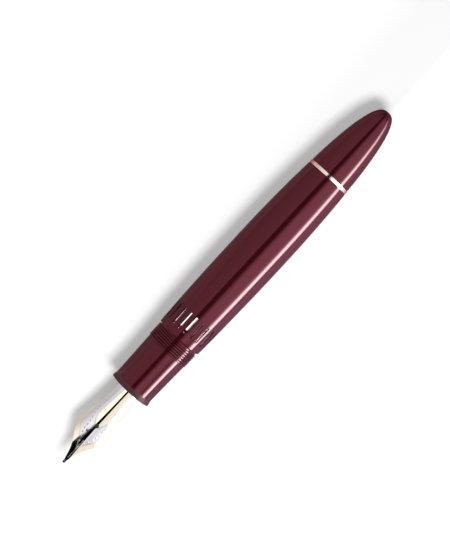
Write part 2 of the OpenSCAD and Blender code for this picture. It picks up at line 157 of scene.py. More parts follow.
class Tree:
    """One Geometry Nodes tree with named inputs, built node by node."""

    def __init__(self, name, **inputs):
        self.group = bpy.data.node_groups.new(name, "GeometryNodeTree")
        sockets = self.group.interface
        sockets.new_socket("Geometry", in_out="INPUT", socket_type="NodeSocketGeometry")
        sockets.new_socket("Geometry", in_out="OUTPUT", socket_type="NodeSocketGeometry")
        for label, kind in inputs.items():
            sockets.new_socket(label, in_out="INPUT", socket_type=KINDS[kind])
        self.inputs = self.group.nodes.new("NodeGroupInput").outputs

    def add(self, kind, links=None, **settings):
        """A node with its settings; links gives each input a value or another node's output."""
        return wire(self.group, kind, links, settings)

    def math(self, operation, a, b=0.0):
        return self.add("ShaderNodeMath", {0: a, 1: b}, operation=operation).outputs[0]

    def vector(self, x=0.0, y=0.0, z=0.0):
        return self.add("ShaderNodeCombineXYZ", {"X": x, "Y": y, "Z": z}).outputs[0]

    def move(self, geometry, **places):
        """Geometry with a Translation, a Rotation or a Scale."""
        return self.add("GeometryNodeTransform", {"Geometry": geometry, **places}).outputs[0]

    def lay(self, geometry, x, **places):
        """Geometry set on the pen's axis at a distance along it."""
        return self.move(geometry, Translation=self.vector(x=x, z=self.inputs["axis_height"]), **places)

    def from_middle(self):
        """The input station, counted from the pen's middle."""
        return self.math("SUBTRACT", self.inputs["station"], self.inputs["middle"])

    def finish(self, geometry):
        """Ends the tree in Realize Instances and Set Material."""
        real = self.add("GeometryNodeRealizeInstances", {"Geometry": geometry})
        painted = self.add("GeometryNodeSetMaterial", {
            "Geometry": real.outputs[0], "Material": self.inputs["material"]})
        out = self.group.nodes.new("NodeGroupOutput")
        self.group.links.new(painted.outputs[0], out.inputs[0])
        return self.group


def wire(group, kind, links, settings):
    """A new node in a group, with its settings made and its inputs linked or set."""
    node = group.nodes.new(kind)
    for key, value in settings.items():
        setattr(node, key, value)
    for key, value in (links or {}).items():
        if isinstance(value, bpy.types.NodeSocket):
            group.links.new(value, node.inputs[key])
        else:
            node.inputs[key].default_value = value
    return node


def grow(name, tree, mesh=None, **values):
    """Runs a tree on a mesh with its inputs set, and returns the plain mesh it makes."""
    seed = bpy.data.objects.new(name + "_seed", mesh or bpy.data.meshes.new(name + "_seed"))
    bpy.context.scene.collection.objects.link(seed)
    modifier = seed.modifiers.new("nodes", "NODES")
    modifier.node_group = tree
    for item in tree.interface.items_tree:
        if item.item_type == "SOCKET" and item.in_out == "INPUT" and item.name in values:
            modifier[item.identifier] = values[item.name]
    bpy.context.view_layer.update()
    graph = bpy.context.evaluated_depsgraph_get()
    made = bpy.data.meshes.new_from_object(seed.evaluated_get(graph), depsgraph=graph)
    seed.modifiers.clear()
    bpy.data.objects.remove(seed)
    made.name = name
    return made


def piece(name, mesh, body, replaces=(), sharp=35):
    """A finished piece: smooth by angle, riding on its body."""
    obj = bpy.data.objects.new(name, mesh)
    bpy.context.scene.collection.objects.link(obj)
    mesh.shade_smooth()
    mesh.set_sharp_from_angle(angle=math.radians(sharp))
    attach(obj, body)
    if replaces:
        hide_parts(*replaces)


def outline_mesh(name, points, closed):
    """An outline of (station, radius) points in mm, as edges for the turning tree."""
    mesh = bpy.data.meshes.new(name)
    count = len(points)
    edges = [(i, (i + 1) % count) for i in range(count if closed else count - 1)]
    mesh.from_pydata([(r * MM, -a * MM, 0) for a, r in points], edges, [])
    return mesh


def turning_tree():
    """Turns an outline about the pen's axis, as a lathe does."""
    t = Tree("turn_on_lathe", segments="int", swing_radius="float", middle="float", axis_height="float",
             material="material")
    outline = t.add("GeometryNodeMeshToCurve", {"Mesh": t.inputs["Geometry"]})
    back = t.math("MULTIPLY", t.inputs["swing_radius"], -1.0)
    outline = t.move(outline.outputs[0], Translation=t.vector(x=back))
    swing = t.add("GeometryNodeCurvePrimitiveCircle",
                  {"Resolution": t.inputs["segments"], "Radius": t.inputs["swing_radius"]})
    turned = t.add("GeometryNodeCurveToMesh", {"Curve": swing.outputs[0], "Profile Curve": outline})
    closed = t.add("GeometryNodeMergeByDistance", {
        "Geometry": turned.outputs[0], "Distance": LATHE_WELD * MM})
    return t.finish(t.lay(closed.outputs[0], t.math("MULTIPLY", t.inputs["middle"], -1.0),
                          Rotation=(0, QUARTER_TURN, 0)))


LATHE_WELD, SEAM_WELD, BALL_WELD = 0.002, 0.0015, 0.0005
LATHE_SWING = 10
PLACE = dict(middle=MID * MM, axis_height=AXIS_Z * MM)
TURNING = turning_tree()


def close_outward(b, mesh, weld):
    """Welds a working mesh's seams, points its faces out and writes it to a mesh."""
    bmesh.ops.remove_doubles(b, verts=b.verts, dist=weld * MM)
    bmesh.ops.recalc_face_normals(b, faces=b.faces)
    b.to_mesh(mesh)
    b.free()


def turned(name, points, material, closed=True, segments=192):
    """A piece turned on the lathe from an outline, whose last point joins the first if it is closed."""
    mesh = grow(name, TURNING, outline_mesh(name, points, closed), segments=segments,
                swing_radius=LATHE_SWING * MM, material=material, **PLACE)
    b = bmesh.new()
    b.from_mesh(mesh)
    close_outward(b, mesh, SEAM_WELD)
    return mesh


# ---- Materials ----------------------------------------------------------

class Finish:
    """One procedural material round a Principled shader."""

    def __init__(self, name, **values):
        self.material = bpy.data.materials.new(name)
        self.material.use_nodes = True
        self.tree = self.material.node_tree
        self.shader = self.tree.nodes["Principled BSDF"]
        for key, value in values.items():
            self.shader.inputs[key.replace("_", " ")].default_value = value
        self.place = self.add("ShaderNodeTexCoord").outputs["Object"]

    def add(self, kind, links=None, **settings):
        return wire(self.tree, kind, links, settings)

    def math(self, operation, a, b=0.0, c=0.0, clamp=False):
        links = {0: a, 1: b, 2: c}
        return self.add("ShaderNodeMath", links, operation=operation, use_clamp=clamp).outputs[0]

    def noise(self, scale, stretch=(1, 1, 1), detail=4.0, rough=0.6):
        """Noise on the piece's own place, stretched along its axes."""
        placed = self.add("ShaderNodeMapping", {"Vector": self.place, "Scale": stretch})
        return self.add("ShaderNodeTexNoise", {"Vector": placed.outputs[0], "Scale": scale, "Detail": detail,
                                               "Roughness": rough}).outputs["Fac"]

    def span(self, value, low, high, start=0.3, stop=0.7):
        """A value stretched from start..stop to low..high."""
        return self.add("ShaderNodeMapRange", {0: value, 1: start, 2: stop, 3: low, 4: high}).outputs[0]

    def set(self, **sockets):
        """Links outputs to the shader's sockets."""
        for key, value in sockets.items():
            self.tree.links.new(value, self.shader.inputs[key.replace("_", " ")])

    def bump(self, height, distance, strength=1.0):
        node = self.add("ShaderNodeBump", {"Height": height, "Distance": distance, "Strength": strength})
        self.set(Normal=node.outputs["Normal"])


def colour_mix(finish, share, a, b):
    """A share of colour b in colour a; a colour mix keeps its sockets at 0, 6 and 7."""
    return finish.add("ShaderNodeMix", {0: share, 6: a, 7: b}, data_type="RGBA").outputs[2]


SATIN_BLEND, SATIN_ROUGH, SATIN_LEVEL, POLISHED_LEVEL = 0.12, 0.36, 0.27, 0.5
POLISH_DEPTH, GRAIN_DEPTH = 0.002, 0.004


def resin(name, satin_to=None):
    """Polished burgundy resin with a faint cloud and hairlines; satin in front of a station."""
    f = Finish(name, Roughness=0.04, IOR=1.65, Specular_Tint=(1.0, 0.27, 0.37, 1.0))
    cloud = f.span(f.noise(160, detail=5.0), 0.0, 1.0)
    colour = colour_mix(f, cloud, (0.037, 0.0034, 0.0055, 1), (0.043, 0.0042, 0.0068, 1))
    rough = f.span(f.noise(900, (0.12, 1, 1), 3.0), 0.03, 0.05)
    if satin_to:
        along = f.add("ShaderNodeSeparateXYZ", {0: f.place}).outputs["X"]
        edge = satin_to - MID
        satin = f.span(along, 1.0, 0.0, (edge - SATIN_BLEND) * MM, (edge + SATIN_BLEND) * MM)
        colour = colour_mix(f, satin, colour, (0.060, 0.022, 0.026, 1))
        rough = f.math("ADD", rough, f.math("MULTIPLY", satin, SATIN_ROUGH))
        f.set(Specular_IOR_Level=f.span(satin, POLISHED_LEVEL, SATIN_LEVEL, 0.0, 1.0))
    f.set(Base_Color=colour, Roughness=rough)
    f.bump(f.noise(300, detail=2.0), POLISH_DEPTH * MM, 0.08)
    return f.material


def metal(name, colour, other, rough, ring=0.0):
    """Plated or turned metal; ring deepens the lathe's marks."""
    f = Finish(name, Metallic=1.0, Roughness=rough)
    f.set(Base_Color=colour_mix(f, f.span(f.noise(500), 0.0, 1.0), colour, other))
    f.set(Roughness=f.span(f.noise(1800, (0.2, 1, 1)), rough * 0.8, rough * 1.25))
    grain = f.noise(2500, (1, 0.15, 0.15)) if ring else f.noise(1500)
    f.bump(grain, GRAIN_DEPTH * MM, 0.3 + ring)
    return f.material


def plain(name, colour, other, rough, grain=0.3, **values):
    """Resin or rubber of one colour with a fine grain."""
    f = Finish(name, Roughness=rough, **values)
    f.set(Base_Color=colour_mix(f, f.span(f.noise(350), 0.0, 1.0), colour, other))
    f.set(Roughness=f.span(f.noise(1200), rough * 0.85, rough * 1.2))
    f.bump(f.noise(2200), GRAIN_DEPTH * MM, grain)
    return f.material


RESIN = resin("burgundy_resin")
GRIP_RESIN = resin("burgundy_resin_with_satin_lip", satin_to=LIP_LEN)
ROSE_GOLD = metal("rose_gold_plate", (0.99, 0.79, 0.70, 1), (0.96, 0.74, 0.65, 1), 0.14)
BRASS = metal("turned_brass", (0.72, 0.52, 0.22, 1), (0.60, 0.42, 0.16, 1), 0.25, ring=0.4)
STEEL = metal("turned_steel", (0.62, 0.62, 0.64, 1), (0.50, 0.50, 0.52, 1), 0.28, ring=0.4)
HARD_METAL = metal("ground_alloy", (0.05, 0.05, 0.055, 1), (0.03, 0.03, 0.033, 1), 0.16)
ENGRAVED = metal("engraved_facets", (0.80, 0.75, 0.76, 1), (0.70, 0.65, 0.66, 1), 0.35)
BLACK = plain("black_resin", (0.012, 0.012, 0.013, 1), (0.020, 0.020, 0.022, 1), 0.32,
              Specular_Tint=(1.0, 0.68, 0.75, 1.0))
RUBBER = plain("black_rubber", (0.020, 0.020, 0.020, 1), (0.035, 0.034, 0.033, 1), 0.6)
WHITE = plain("white_resin", (0.78, 0.76, 0.71, 1), (0.70, 0.68, 0.63, 1), 0.4)
CLEAR = plain("clear_resin", (0.99, 0.98, 0.97, 1), (0.97, 0.955, 0.95, 1), 0.03, grain=0.01,
              Transmission_Weight=1.0, IOR=1.30, Specular_Tint=(1.0, 0.50, 0.58, 1.0))


# ---- Grip, barrel, ring and knob ----------------------------------------

def grip_outline():
    """The grip with its rounded mouth and lip, and the tenon that enters the barrel."""
    back = GRIP_LEN - HAIRLINE
    points = rounded((0, GRIP_BORE_R), (1, GRIP_BORE_R), (0, LIP_R), MOUTH_EDGE)
    points += rounded((0, LIP_R), (0, GRIP_BORE_R), (0.5, grip_radius(0.5)), LIP_EDGE, 8)
    points += [(a, grip_radius(a)) for a in spaced(0.25, back, 60)[1:]]
    return points + [(back, CORE_R), (TENON_TO, CORE_R), (TENON_TO, GRIP_BORE_R)]


def barrel_outline():
    """The barrel from its thread's root over the belly to its back end, and its bore in two steps."""
    root = THREAD_R - THREAD_DEPTH
    housing, sleeve = HOUSING_R + HAIRLINE, CORE_R + HAIRLINE
    points = [(THREAD_FROM, sleeve)]
    points += [(a, root) for a in spaced(THREAD_FROM, RUNOUT_FROM, 12)]
    # the cutter's run-out groove behind the last crest
    points += [(between(RUNOUT_FROM, SHOULDER_AT, t), root - RUNOUT_DEPTH) for t in (0.45, 0.7)]
    points += [(SHOULDER_AT, root)]
    shoulder = (SHOULDER_AT, barrel_radius(SHOULDER_AT))
    points += rounded(shoulder, (SHOULDER_AT, root), (SHOULDER_AT + 1, shoulder[1]), SHOULDER_EDGE)
    points += [(a, barrel_radius(a)) for a in spaced(SHOULDER_AT + 0.2, BARREL_TO - 0.1, 150)]
    back = (BARREL_TO, BARREL_BACK_R)
    points += rounded(back, (BARREL_TO - 1, BARREL_BACK_R), (BARREL_TO, HOUSING_R), BARREL_EDGE)
    return points + [(BARREL_TO, housing), (SLEEVE_SEAT, housing), (SLEEVE_SEAT, sleeve)]


SLOT_INPUTS = dict(count="int", turn="float", length="float", width="float", low="float", high="float",
                   station="float", middle="float", axis_height="float", material="material")


def ring_of_bars(t):
    """One bar for each window slot, standing out from the radius low to the radius high."""
    tall = t.math("SUBTRACT", t.inputs["high"], t.inputs["low"])
    bar = t.add("GeometryNodeMeshCube", {"Size": t.vector(t.inputs["length"], t.inputs["width"], tall)})
    centre = t.math("ADD", t.inputs["low"], t.math("MULTIPLY", tall, 0.5))
    bar = t.move(bar.outputs[0], Translation=t.vector(z=centre))
    points = t.add("GeometryNodeMeshLine", {"Count": t.inputs["count"], "Offset": (0, 0, 0)}, mode="OFFSET")
    number = t.add("GeometryNodeInputIndex").outputs[0]
    turn = t.math("MULTIPLY", t.math("DIVIDE", number, t.inputs["count"]), math.tau)
    ring = t.add("GeometryNodeInstanceOnPoints", {
        "Points": points.outputs[0], "Instance": bar,
        "Rotation": t.vector(x=t.math("ADD", turn, t.inputs["turn"]))})
    real = t.add("GeometryNodeRealizeInstances", {"Geometry": ring.outputs[0]})
    return t.lay(real.outputs[0], t.from_middle())


def slot_cutting_tree():
    """Cuts a ring of slots round a turned piece."""
    t = Tree("cut_slots", **SLOT_INPUTS)
    cut = t.add("GeometryNodeMeshBoolean", {"Mesh 1": t.inputs["Geometry"], "Mesh 2": ring_of_bars(t)},
                operation="DIFFERENCE")
    return t.finish(cut.outputs[0])


def rib_tree():
    """Stands a clear rib in each window slot."""
    t = Tree("window_ribs", **SLOT_INPUTS)
    return t.finish(ring_of_bars(t))


def thread_tree():
    """Winds a ridge with fading ends round the pen's axis."""
    t = Tree("wind_thread", turns="float", radius="float", pitch="float", crest="float", ridge="float",
             station="float", middle="float", axis_height="float", material="material")
    turns, pitch = t.inputs["turns"], t.inputs["pitch"]
    path = t.add("GeometryNodeCurveSpiral", {
        "Resolution": 128, "Rotations": turns, "Start Radius": t.inputs["radius"],
        "End Radius": t.inputs["radius"], "Height": t.math("MULTIPLY", turns, pitch)})
    along = t.add("GeometryNodeSplineParameter").outputs["Factor"]
    # the ridge grows from nothing at both ends
    wound = t.math("MULTIPLY", along, turns)
    left = t.math("MULTIPLY", t.math("SUBTRACT", 1.0, along), turns)
    fade = t.math("MULTIPLY", t.math("MINIMUM", wound, left), RIDGE_RISE)
    fade = t.math("MAXIMUM", t.math("MINIMUM", fade, 1.0), RIDGE_LEAST)
    path = t.add("GeometryNodeSetCurveNormal", {"Curve": path.outputs[0]}, mode="Z_UP")
    section = t.add("GeometryNodeCurvePrimitiveQuadrilateral", {
        "Height": t.inputs["ridge"], "Bottom Width": pitch, "Top Width": t.inputs["crest"], "Offset": 0.0},
        mode="TRAPEZOID")
    section = t.move(section.outputs[0], Rotation=(0, 0, QUARTER_TURN))
    ridge = t.add("GeometryNodeCurveToMesh", {
        "Curve": path.outputs[0], "Profile Curve": section, "Scale": fade, "Fill Caps": True})
    return t.finish(t.lay(ridge.outputs[0], t.from_middle(), Rotation=(0, QUARTER_TURN, 0)))


def ring_outline():
    """The trim ring, square in section with two rounded edges."""
    front, inner = BARREL_TO + HAIRLINE, HOUSING_R + HAIRLINE
    corners = [(front, inner), (front, RING_R), (RING_TO, RING_R), (RING_TO, inner)]
    points = rounded(corners[1], corners[0], corners[2], RING_EDGE)
    points += rounded(corners[2], corners[1], corners[3], RING_EDGE)
    return [corners[0]] + points + [corners[3]]


def knob_outline():
    """The knob from its mouth's edge over the nose to the axis, and back along its hollow to the flange."""
    shares = [1 - (1 - t) ** 2 for t in spaced(0, 1, 110)]
    outside = [(KNOB_FROM + t * KNOB_LEN, knob_radius(t)) for t in shares[1:]]
    edge = rounded((KNOB_FROM, KNOB_R), (KNOB_FROM, FLANGE_R), outside[4], KNOB_EDGE)
    flange = KNOB_FROM + FLANGE_DEPTH
    return edge + outside + [(KNOB_BORE_TO, 0), (KNOB_BORE_TO, KNOB_BORE_R), (flange, KNOB_MOUTH_R),
                             (flange, FLANGE_R), (KNOB_FROM, FLANGE_R)]


piece("grip", turned("grip", grip_outline(), GRIP_RESIN), "pen_body", ["grip_section"])

SLOTS = dict(count=SLOT_COUNT, turn=SLOT_TURN, station=SLOT_MID * MM, **PLACE)
barrel = turned("barrel_tube", barrel_outline(), RESIN, segments=240)
barrel = grow("barrel_tube", slot_cutting_tree(), barrel, length=SLOT_LEN * MM, width=SLOT_W * MM,
              low=CUTTER_FROM_R * MM, high=CUTTER_TO_R * MM, material=RESIN, **SLOTS)
piece("barrel_tube", barrel, "pen_body", ["barrel"])

thread = grow("cap_thread", thread_tree(), turns=RIDGE_TURNS, radius=(THREAD_R - RIDGE / 2) * MM,
              pitch=THREAD_PITCH * MM, crest=RIDGE_CREST * MM, ridge=RIDGE * MM, station=RIDGE_FROM * MM,
              material=RESIN, **PLACE)
piece("cap_thread", thread, "pen_body")

core = turned("clear_core", [(CORE_FROM, INK_BORE_R), (CORE_FROM, CORE_R), (CORE_TO, CORE_R),
                             (CORE_TO, INK_BORE_R)], CLEAR)
piece("clear_core", core, "pen_body", ["ink_window"])

ribs = grow("window_ribs", rib_tree(), length=(SLOT_LEN - 2 * HAIRLINE) * MM,
            width=(SLOT_W - 2 * HAIRLINE) * MM, low=(CORE_R + HAIRLINE) * MM,
            high=(barrel_radius(SLOT_MID) - RIB_SINK) * MM, material=CLEAR, **SLOTS)
piece("window_ribs", ribs, "pen_body")

piece("trim_band", turned("trim_band", ring_outline(), ROSE_GOLD), "pen_body", ["trim_ring"])

knob = turned("knob_shell", knob_outline(), RESIN, closed=False)
piece("knob_shell", knob, "knob_unit", ["knob"])

# ---- Nib ----------------------------------------------------------------
# u is the distance in front of the grip, so it runs the other way from a station.

NIB_BLADE = NIB_REACH - 1.5 * PELLET_R
SHOULDER_U, SHOULDER_W = 0.597 * NIB_REACH, 5.19
SIDE_FROM, SIDE_CURVE = 3, 1.25
TINE_HOLLOW, TINE_CURVE, TINE_REACH = 0.36, 1.6, 0.6
SHOULDER_BLEND = 0.5
POINT_W = 0.34
TOP_CURVE = 1.1
WRAP_BACK, WRAP_FRONT = 88, 55
FLATTENING = 0.4  # growth of the bend's radius for each mm past the shoulders
SLIT_CLOSING = 0.7

BORDER_BACK, BORDER_FRONT, BORDER_FROM = 0.75, 1.65, 8.0
FIELD_FROM = BREATHER_AT + 0.4
FIELD_CURVE = 1.15
FIELD_BACK, FIELD_FRONT, FIELD_LEN = 1.4, 2.35, 11
LINE_W, LINE_DEPTH, LINE_PAINTED_SHADE = 0.03, 0.02, 0.5
STROKE_PITCH, STROKE_SLANT, STROKE_W = 0.62, 1.3, 0.09
STROKE_CLEAR, SLIT_CLEAR = 0.28, 0.3


def nib_width(u):
    """Half the nib's width: straight sides, then shoulders that run hollow into the point."""
    back = (max(0.0, u - SIDE_FROM) / (SHOULDER_U - SIDE_FROM)) ** SIDE_CURVE
    side = SHANK_R + (SHOULDER_W - SHANK_R) * back
    q = (u - SHOULDER_U) / (NIB_BLADE + TINE_REACH - SHOULDER_U)
    hollow = TINE_HOLLOW * math.sin(math.pi * max(0.0, q) ** TINE_CURVE)
    tine = SHOULDER_W * (1 - q) * (1 - hollow)
    h = kept_share(0.5 + 0.5 * (tine - side) / SHOULDER_BLEND)
    return max(POINT_W, between(tine, side, h) - SHOULDER_BLEND * h * (1 - h))


def nib_top(u):
    """Height of the nib's crest over the pen's axis."""
    return between(SHANK_R, POINT_RISE, kept_share(u / NIB_BLADE) ** TOP_CURVE)


def nib_bend(u):
    """Radius of the sheet's bend: the shank hugs the feed and the tines lie flatter."""
    at = min(u, SHOULDER_U)
    wrap = math.radians(between(WRAP_BACK, WRAP_FRONT, kept_share(at / SHOULDER_U)))
    return nib_width(at) / math.sin(wrap) + FLATTENING * max(0.0, u - SHOULDER_U)


def nib_gap(u):
    """Half the gap between the tines: the slit closes towards the point."""
    closed = SLIT_CLOSING * kept_share((u - BREATHER_AT) / (NIB_BLADE - BREATHER_AT))
    return max(SLIT_W / 2 * (1 - closed), math.sqrt(max(0.0, BREATHER_R ** 2 - (u - BREATHER_AT) ** 2)))


def on_nib(u, turn, rise=0.0, lift=0.0):
    """A point of the sheet, a turn round its bend from the crest, raised off it or lifted straight up."""
    bend = nib_bend(u)
    return ((-u - MID) * MM, (bend + rise) * math.sin(turn) * MM,
            (AXIS_Z + nib_top(u) - bend + (bend + rise) * math.cos(turn) + lift) * MM)


NIB_CELLS, HOLE_STEPS = 26, 20
NIB_COLUMNS = 2 * NIB_CELLS + 2


def nib_stations():
    """Rows of the sheet, closer round the breather hole, and how many lie behind the hole."""
    half = math.sqrt(BREATHER_R ** 2 - (SLIT_W / 2) ** 2)
    behind = spaced(-SHANK_LEN, BREATHER_AT - half - 0.15, 90)
    hole = [BREATHER_AT - half * math.cos(math.pi * k / HOLE_STEPS) for k in range(HOLE_STEPS + 1)]
    return behind + hole + spaced(BREATHER_AT + half + 0.15, NIB_BLADE, 110), len(behind)


def column_turn(u, column):
    """Turn of a column round the bend: the first half runs from one edge in to the slit."""
    bend = nib_bend(u)
    outer = math.asin(min(1.0, nib_width(u) / bend))
    inner = math.asin(nib_gap(u) / bend)
    if column <= NIB_CELLS:
        return -between(inner, outer, (NIB_CELLS - column) / NIB_CELLS)
    return between(inner, outer, (column - NIB_CELLS - 1) / NIB_CELLS)


def edge_distances(flat, edge):
    """Distance from each flat point of the sheet to its outer edge."""
    start, step = edge[:-1], edge[1:] - edge[:-1]
    length2 = (step ** 2).sum(1)
    gaps = []
    for p in flat:
        t = np.clip(((p - start) * step).sum(1) / length2, 0, 1)
        gaps.append(np.sqrt(((start + step * t[:, None] - p) ** 2).sum(1)).min())
    return gaps


def nib_faces(rows, first_open):
    """Faces of the sheet's top, its underside and all its edges; the slit is open from a row on."""
    n = rows * NIB_COLUMNS
    faces = []

    def face(a, b, c, d):
        faces.append((a, d, c, b))

    def at(row, column):
        return row * NIB_COLUMNS + column

    for i in range(rows - 1):
        is_open = i >= first_open
        for j in range(NIB_COLUMNS - 1):
            if j != NIB_CELLS or not is_open:
                a, b, c, d = at(i, j), at(i + 1, j), at(i + 1, j + 1), at(i, j + 1)
                face(a, b, c, d)
                face(n + a, n + d, n + c, n + b)
        for j in (0, NIB_CELLS + 1) if is_open else (0,):
            face(at(i, j), n + at(i, j), n + at(i + 1, j), at(i + 1, j))
        for j in (NIB_CELLS, NIB_COLUMNS - 1) if is_open else (NIB_COLUMNS - 1,):
            face(at(i, j), at(i + 1, j), n + at(i + 1, j), n + at(i, j))
    for j in range(NIB_COLUMNS - 1):
        face(j, j + 1, n + j + 1, n + j)
        if j != NIB_CELLS:
            a = at(rows - 1, j)
            face(a, n + a, n + a + 1, a + 1)
    a = at(first_open, NIB_CELLS)
    face(a, n + a, n + a + 1, a + 1)
    return faces


def nib_mesh():
    """Fine nib sheet with its slit and breather hole; tone carries (along, across, edge) in mm."""
    stations, first_open = nib_stations()
    top, low, flat = [], [], []
    for u in stations:
        for column in range(NIB_COLUMNS):
            turn = column_turn(u, column)
            top.append(on_nib(u, turn))
            low.append(on_nib(u, turn, rise=-NIB_T))
            flat.append((u, nib_bend(u) * turn))
    flat = np.array(flat)
    one_side = np.column_stack((flat[:, 0], np.abs(flat[:, 1])))
    gaps = edge_distances(one_side, flat[NIB_COLUMNS - 1::NIB_COLUMNS])
    tone = np.column_stack((flat, gaps))
    mesh = bpy.data.meshes.new("nib_sheet")
    mesh.from_pydata(top + low, [], nib_faces(len(stations), first_open))
    attribute = mesh.attributes.new("tone", "FLOAT_VECTOR", "POINT")
    attribute.data.foreach_set("vector", np.concatenate((tone, tone)).ravel())
    return mesh


def border_width(u):
    """Width of the nib's gold border: narrow along the sides, wide on the tines."""
    return between(BORDER_BACK, BORDER_FRONT, kept_share((u - BORDER_FROM) / (SHOULDER_U - BORDER_FROM)))


def field_width(u):
    """Half the width of the gold field behind the breather hole."""
    nose = FIELD_CURVE * math.sqrt(max(0.0, FIELD_FROM - u))
    return min(nose, between(FIELD_BACK, FIELD_FRONT, u / FIELD_LEN))


def nib_finish():
    """Pale gold with a bright silver band, fine engraved lines beside each change of colour, and slanting
    strokes, darkened with painted shade.
    """
    f = Finish("two_tone_nib", Metallic=1.0, Roughness=0.12)
    tone = f.add("ShaderNodeAttribute", attribute_name="tone").outputs["Vector"]
    along, across, edge = f.add("ShaderNodeSeparateXYZ", {0: tone}).outputs
    side = f.math("ABSOLUTE", across)
    reach = f.math("SUBTRACT", FIELD_FROM, along)
    nose = f.math("MULTIPLY", f.math("SQRT", f.math("MAXIMUM", reach, 0.0)), FIELD_CURVE)
    behind = f.math("GREATER_THAN", reach, 0.0)
    flank = f.span(along, FIELD_BACK, FIELD_FRONT, 0.0, FIELD_LEN)
    field = f.math("SUBTRACT", f.math("MINIMUM", nose, flank), side)
    border = f.math("SUBTRACT", f.span(along, BORDER_BACK, BORDER_FRONT, BORDER_FROM, SHOULDER_U), edge)
    # both colours change over a fortieth of a millimetre
    gold = f.math("MAXIMUM", f.math("MULTIPLY", f.math("MULTIPLY", field, behind), 40.0, clamp=True),
                  f.math("MULTIPLY", border, 40.0, clamp=True))
    cloud = f.span(f.noise(600), 0.0, 1.0)
    yellow = colour_mix(f, f.math("GREATER_THAN", border, 0.0),
                        (0.98, 0.89, 0.74, 1), (0.99, 0.86, 0.68, 1))
    silver = colour_mix(f, cloud, (0.90, 0.86, 0.91, 1), (0.85, 0.81, 0.86, 1))
    painted = colour_mix(f, gold, silver, yellow)
    lines = 0.0
    for value, offset, seen in ((border, 0.10, 1.0), (border, -0.14, 1.0), (field, 0.12, behind),
                                (field, -0.16, behind)):
        line = f.math("MULTIPLY", f.math("COMPARE", value, offset, LINE_W), seen)
        lines = f.math("MAXIMUM", lines, line)
    # feathered strokes that slant out across the silver
    slant = f.math("ADD", along, f.math("MULTIPLY", side, STROKE_SLANT))
    slant = f.math("FRACT", f.math("DIVIDE", slant, STROKE_PITCH))
    stroke = f.math("MULTIPLY", f.math("COMPARE", slant, 0.5, STROKE_W), f.math("SUBTRACT", 1.0, gold))
    from_border = f.math("MULTIPLY", border, -1.0)
    from_slit = f.math("SUBTRACT", side, SLIT_CLEAR)
    clear_of = f.math("GREATER_THAN", f.math("MINIMUM", from_border, from_slit), STROKE_CLEAR)
    stroke = f.math("MULTIPLY", stroke, f.math("MULTIPLY", clear_of, 0.5))
    lines = f.math("MAXIMUM", lines, stroke)
    # the lines and strokes are sunk as grooves, and their colour is darkened as painted shade in the grooves
    shade = f.math("MULTIPLY", lines, LINE_PAINTED_SHADE)
    f.set(Base_Color=colour_mix(f, shade, painted, (0.30, 0.24, 0.18, 1)))
    f.set(Roughness=f.span(f.noise(2200, (0.2, 1, 1)), 0.03, 0.06))
    f.bump(f.math("MULTIPLY", lines, -1.0), LINE_DEPTH * MM, 0.5)
    return f.material


def lozenge_tree():
    """Sets a low four-sided pyramid on each point, square to the point's own direction."""
    t = Tree("engraved_lozenges", size="float", stretch="float", rise="float", material="material")
    facet = t.add("GeometryNodeMeshCone", {
        "Vertices": 4, "Radius Top": 0.0, "Radius Bottom": t.inputs["size"], "Depth": t.inputs["rise"]})
    facet = t.move(facet.outputs[0], Scale=t.vector(t.inputs["stretch"], 1.0, 1.0))
    aim = t.add("GeometryNodeInputNamedAttribute", {"Name": "aim"}, data_type="FLOAT_VECTOR").outputs[0]
    run = t.add("GeometryNodeInputNamedAttribute", {"Name": "run"}, data_type="FLOAT_VECTOR").outputs[0]
    grown = t.add("GeometryNodeInputNamedAttribute", {"Name": "share"}, data_type="FLOAT").outputs[0]
    turn = t.add("FunctionNodeAlignRotationToVector", {"Vector": aim}, axis="Z")
    turn = t.add("FunctionNodeAlignRotationToVector", {"Rotation": turn.outputs[0], "Vector": run}, axis="X",
                 pivot_axis="Z")
    ring = t.add("GeometryNodeInstanceOnPoints", {
        "Points": t.inputs["Geometry"], "Instance": facet, "Rotation": turn.outputs[0], "Scale": grown})
    return t.finish(ring.outputs[0])


LOZENGE_PITCH, LOZENGE_SIZE, LOZENGE_STRETCH, LOZENGE_RISE = 1.24, 0.28, 1.5, 0.07
LOZENGE_SINK = 0.006
LOZENGE_FROM, LOZENGE_CLEAR_OF_POINT = 1.2, 6
BAND_LEAST, BAND_FULL, FIELD_LEAST = 0.45, 1.1, 0.35
BORDER_SHARE, BAND_SEARCH = 1.08, 0.2


def nib_slope(u):
    """Fall of the nib's crest towards the point, for each mm of length."""
    return (nib_top(u) - nib_top(u + 0.1)) / 0.1


def field_drift(u):
    """Growth of the gold field's half width, for each mm of length."""
    return (field_width(u + 0.3) - field_width(u)) / 0.3


